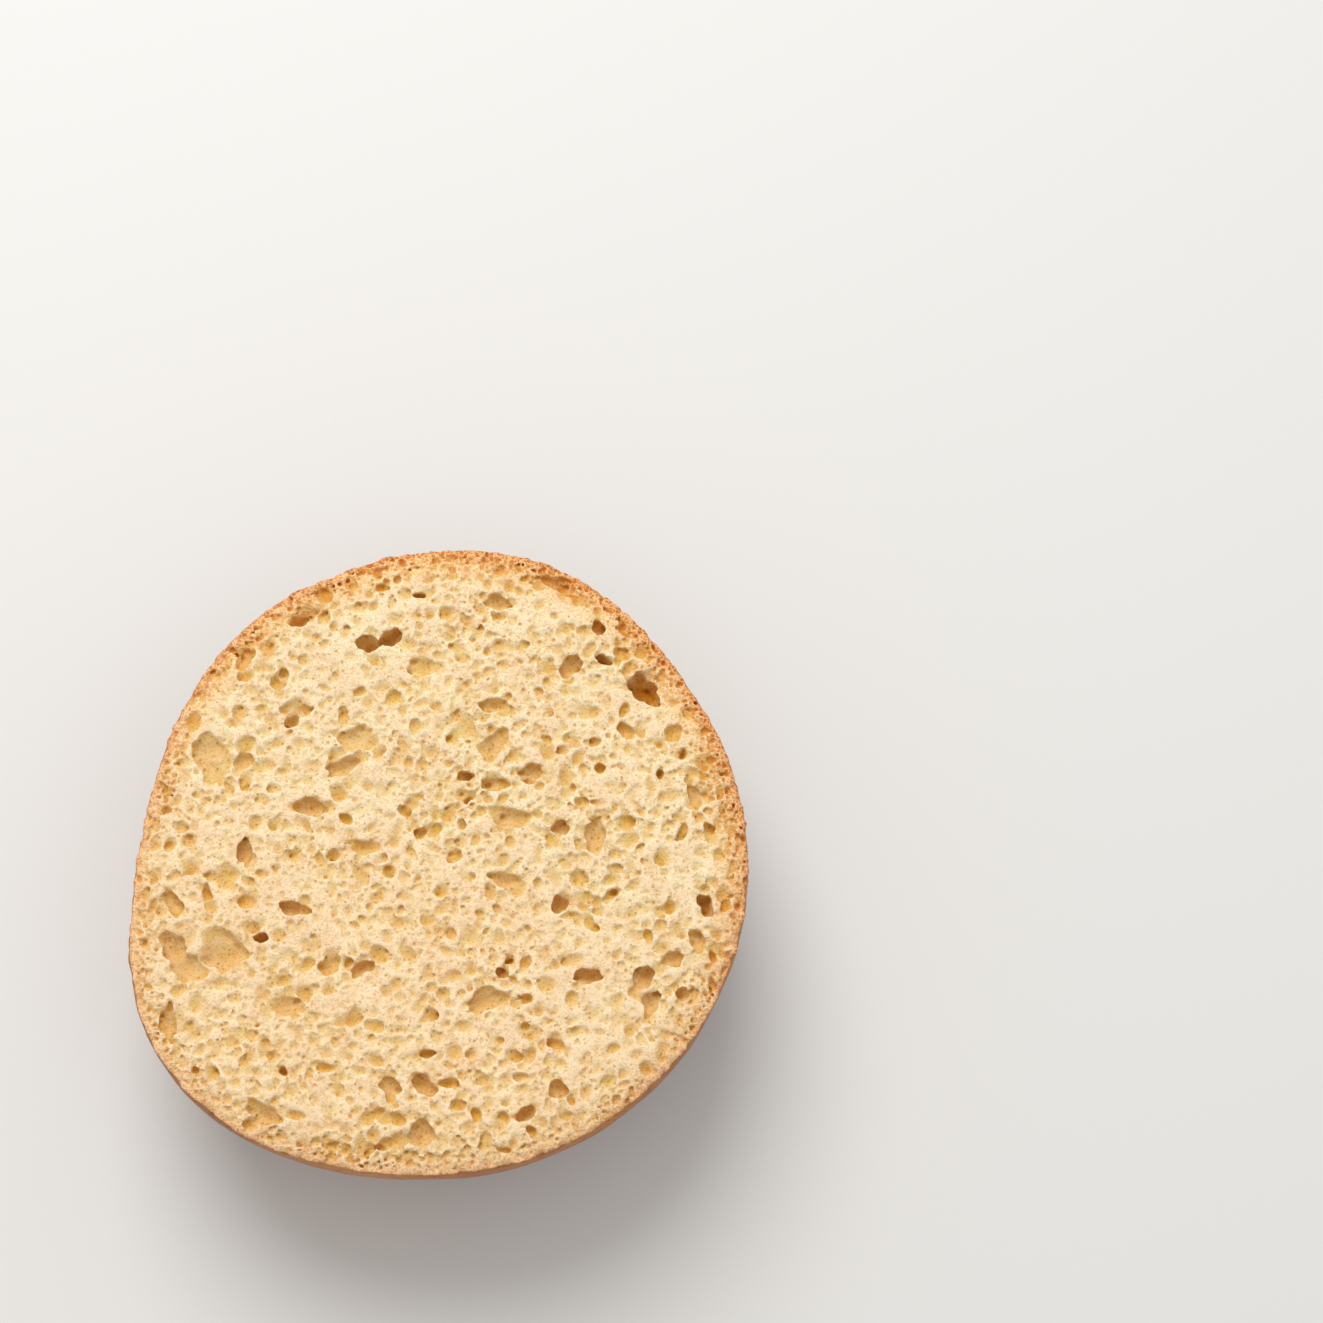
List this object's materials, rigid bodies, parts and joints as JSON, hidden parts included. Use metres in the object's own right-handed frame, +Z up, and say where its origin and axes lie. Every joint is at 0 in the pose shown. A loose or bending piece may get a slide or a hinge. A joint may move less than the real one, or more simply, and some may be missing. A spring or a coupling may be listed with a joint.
{
  "type": "bread roll",
  "caption": "Half of a soft round bread roll, cut level and lying on its domed crown, with an open crumb of uneven gas holes and a thin browned crust.",
  "frame": {"origin": "middle of the roll's box, on the surface that its flattened crown rests on", "axes": "+Z up, out of the cut face; +Y towards the top of the cut face in the picture, +X towards its right"},
  "size_m": [0.0889, 0.0923, 0.0302],
  "materials": {
    "crumb": "matte, soft open bread crumb with a thin, satin, browned crust round it"
  },
  "bodies": {
    "root": {"roll_half": "crumb"}
  },
  "joints": []
}
